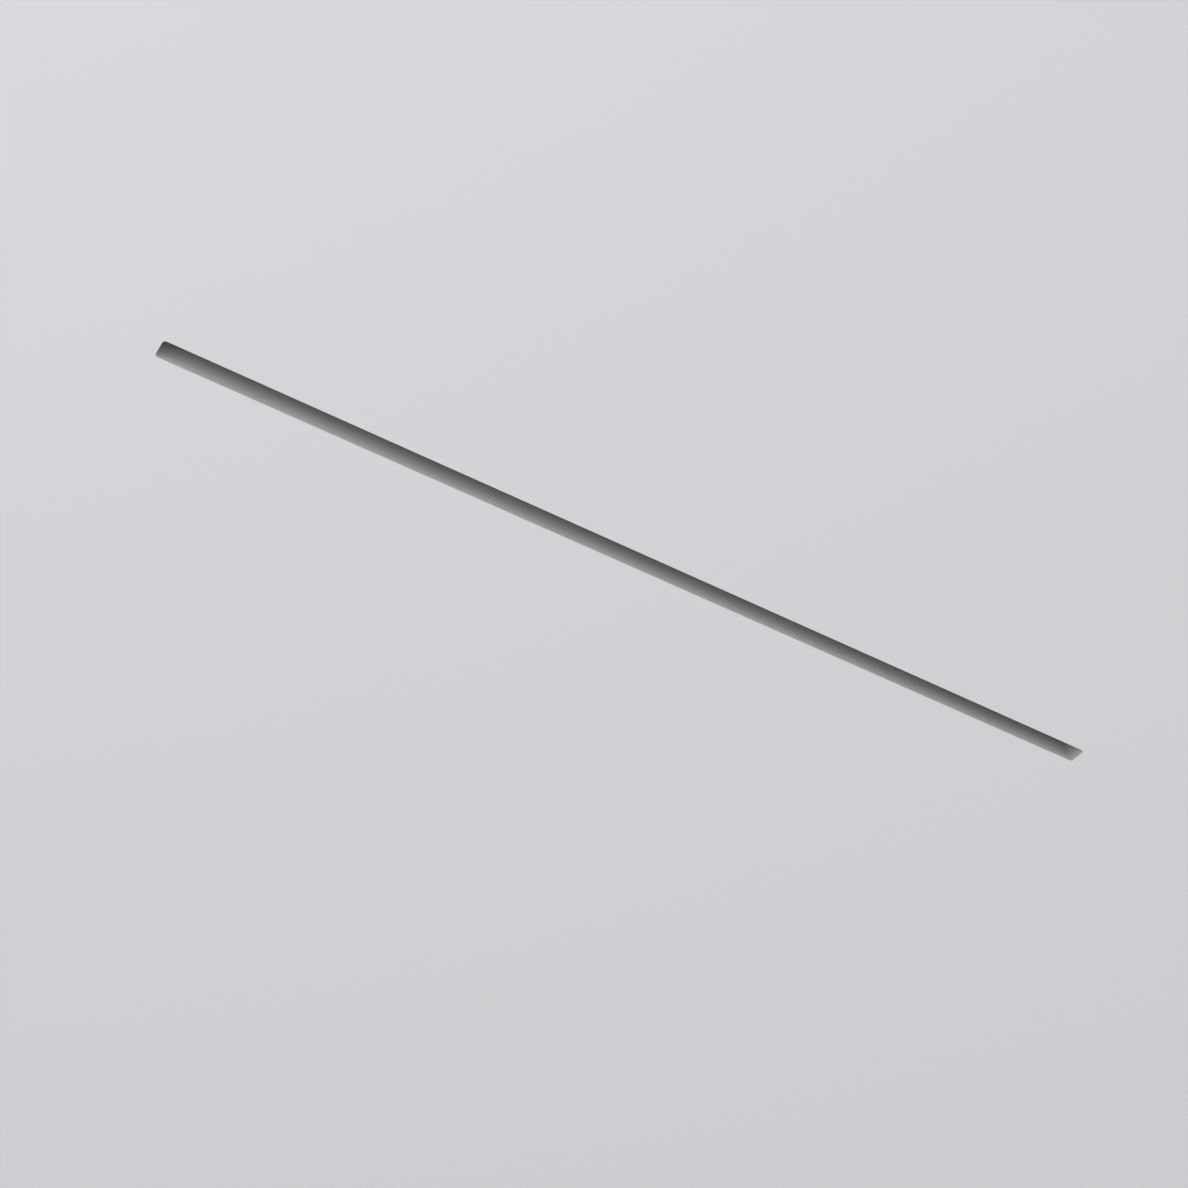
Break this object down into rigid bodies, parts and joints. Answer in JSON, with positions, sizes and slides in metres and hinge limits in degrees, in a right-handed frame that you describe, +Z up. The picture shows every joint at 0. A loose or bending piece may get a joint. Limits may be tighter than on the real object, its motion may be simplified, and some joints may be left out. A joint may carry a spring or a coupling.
{
  "type": "linear slot diffuser",
  "caption": "Plaster-in linear slot diffuser with swinging air blades, a folded plenum and a spigot with a butterfly damper.",
  "frame": {"origin": "middle of the open slot, in the plane of the finished ceiling", "axes": "+X along the slot, +Y across it, +Z up into the ceiling void"},
  "size_m": [1.0706, 0.1686, 0.2979],
  "materials": {
    "white_paint": "matt white wall paint",
    "mill_aluminium": "mill finish sheet",
    "black_anodised": "matt black",
    "black_moulding": "moulded, fine texture",
    "galvanised_steel": "hot-dip galvanised with faint spangle",
    "zinc_plated_steel": "bright zinc plated",
    "foam_rubber": "closed-cell foam",
    "sealing_rubber": "smooth rubber",
    "nylon": "natural moulding"
  },
  "bodies": {
    "frame": {"blade_carrier_left": "black_moulding", "blade_carrier_middle": "black_moulding", "blade_carrier_right": "black_moulding", "blade_pin_far_left": "zinc_plated_steel", "blade_pin_far_middle": "zinc_plated_steel", "blade_pin_far_right": "zinc_plated_steel", "blade_pin_near_left": "zinc_plated_steel", "blade_pin_near_middle": "zinc_plated_steel", "blade_pin_near_right": "zinc_plated_steel", "cap_screw_left_1": "zinc_plated_steel", "cap_screw_left_2": "zinc_plated_steel", "cap_screw_left_3": "zinc_plated_steel", "cap_screw_left_4": "zinc_plated_steel", "cap_screw_right_1": "zinc_plated_steel", "cap_screw_right_2": "zinc_plated_steel", "cap_screw_right_3": "zinc_plated_steel", "cap_screw_right_4": "zinc_plated_steel", "end_cap_left": "white_paint", "end_cap_right": "white_paint", "equaliser_channel": "galvanised_steel", "hanging_lug_far_left": "galvanised_steel", "hanging_lug_far_right": "galvanised_steel", "hanging_lug_near_left": "galvanised_steel", "hanging_lug_near_right": "galvanised_steel", "lever_quadrant": "galvanised_steel", "neck_gasket": "foam_rubber", "neck_screw_far_1": "zinc_plated_steel", "neck_screw_far_2": "zinc_plated_steel", "neck_screw_far_3": "zinc_plated_steel", "neck_screw_far_4": "zinc_plated_steel", "neck_screw_near_1": "zinc_plated_steel", "neck_screw_near_2": "zinc_plated_steel", "neck_screw_near_3": "zinc_plated_steel", "neck_screw_near_4": "zinc_plated_steel", "plaster_strip_far": "mill_aluminium", "plaster_strip_left": "mill_aluminium", "plaster_strip_near": "mill_aluminium", "plaster_strip_right": "mill_aluminium", "plenum_body": "galvanised_steel", "plenum_end_left": "galvanised_steel", "plenum_end_right": "galvanised_steel", "profile_far": "white_paint", "profile_near": "white_paint", "spigot": "galvanised_steel", "spigot_seal": "sealing_rubber", "spindle_bush_left": "nylon", "spindle_bush_right": "nylon"},
    "near_left_blade": {"blade_near_left": "black_anodised"},
    "near_right_blade": {"blade_near_right": "black_anodised"},
    "far_left_blade": {"blade_far_left": "black_anodised"},
    "far_right_blade": {"blade_far_right": "black_anodised"},
    "damper": {"damper_blade": "galvanised_steel", "damper_spindle": "zinc_plated_steel", "damper_lever": "zinc_plated_steel", "lock_bolt": "zinc_plated_steel", "wing_nut": "zinc_plated_steel"}
  },
  "joints": [
    {"name": "near_left_blade_pivot", "type": "hinge", "parent": "frame", "child": "near_left_blade", "pos_m": [-0.24447, -0.0113, 0.043], "axis": [1, 0, 0], "range_deg": [0, 90]},
    {"name": "near_right_blade_pivot", "type": "hinge", "parent": "frame", "child": "near_right_blade", "pos_m": [0.24447, -0.0113, 0.043], "axis": [1, 0, 0], "range_deg": [0, 90]},
    {"name": "far_left_blade_pivot", "type": "hinge", "parent": "frame", "child": "far_left_blade", "pos_m": [-0.24447, 0.0113, 0.043], "axis": [-1, 0, 0], "range_deg": [0, 90]},
    {"name": "far_right_blade_pivot", "type": "hinge", "parent": "frame", "child": "far_right_blade", "pos_m": [0.24447, 0.0113, 0.043], "axis": [-1, 0, 0], "range_deg": [0, 90]},
    {"name": "damper_spindle_turn", "type": "hinge", "parent": "frame", "child": "damper", "pos_m": [0, 0, 0.2486], "axis": [-1, 0, 0], "range_deg": [0, 90]}
  ]
}
